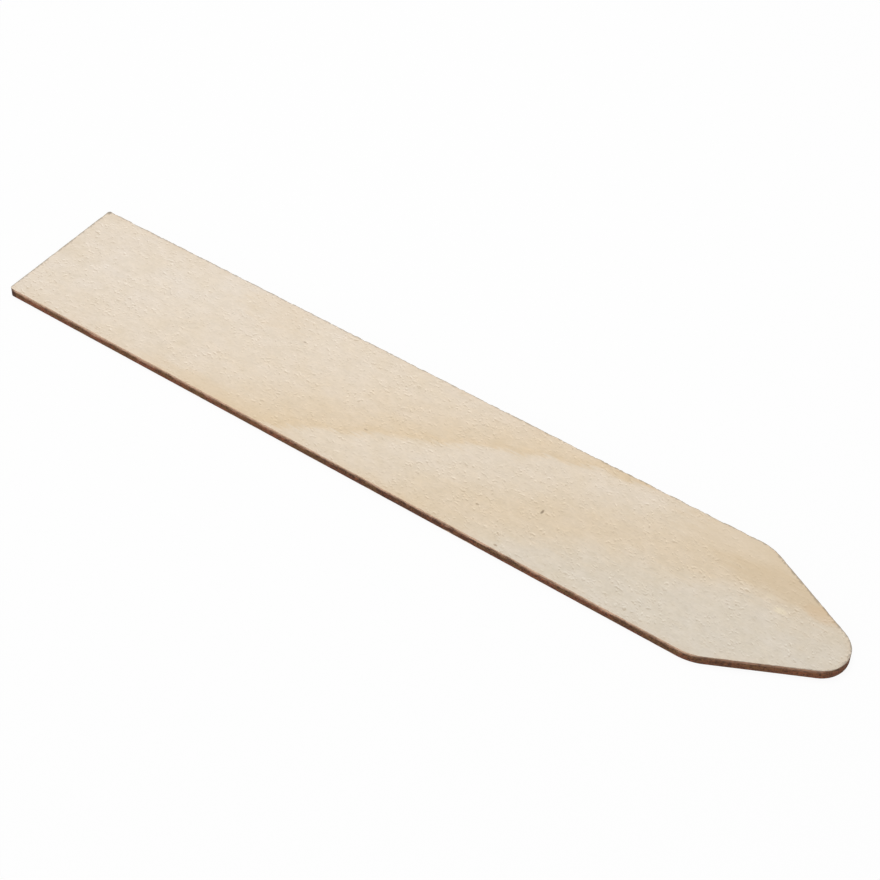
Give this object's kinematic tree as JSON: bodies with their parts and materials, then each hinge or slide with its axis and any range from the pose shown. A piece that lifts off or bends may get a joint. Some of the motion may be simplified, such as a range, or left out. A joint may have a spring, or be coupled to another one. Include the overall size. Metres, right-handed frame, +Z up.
{
  "type": "plant label stake",
  "caption": "Flat wooden plant label stake of bonded veneers, with a square writing end, parallel sides and a tapered round-nosed point that pushes into soil.",
  "frame": {"origin": "on the back face, half way along the blade and half way across it", "axes": "+X along the blade to the pointed nose, +Y across the blade, +Z up through the layers to the face that is written on"},
  "size_m": [0.18, 0.03, 0.002],
  "materials": {
    "outer_veneer": "bare sanded pale veneer, grain along the blade, scorched brown on the cut edge",
    "core_veneer": "cross-grain veneer that shows only as the scorched cut edge",
    "glue_line": "cured resin film, charred where the cut shows it"
  },
  "bodies": {
    "root": {"back_veneer": "outer_veneer", "back_glue_line": "glue_line", "core_veneer": "core_veneer", "face_glue_line": "glue_line", "face_veneer": "outer_veneer"}
  },
  "joints": []
}
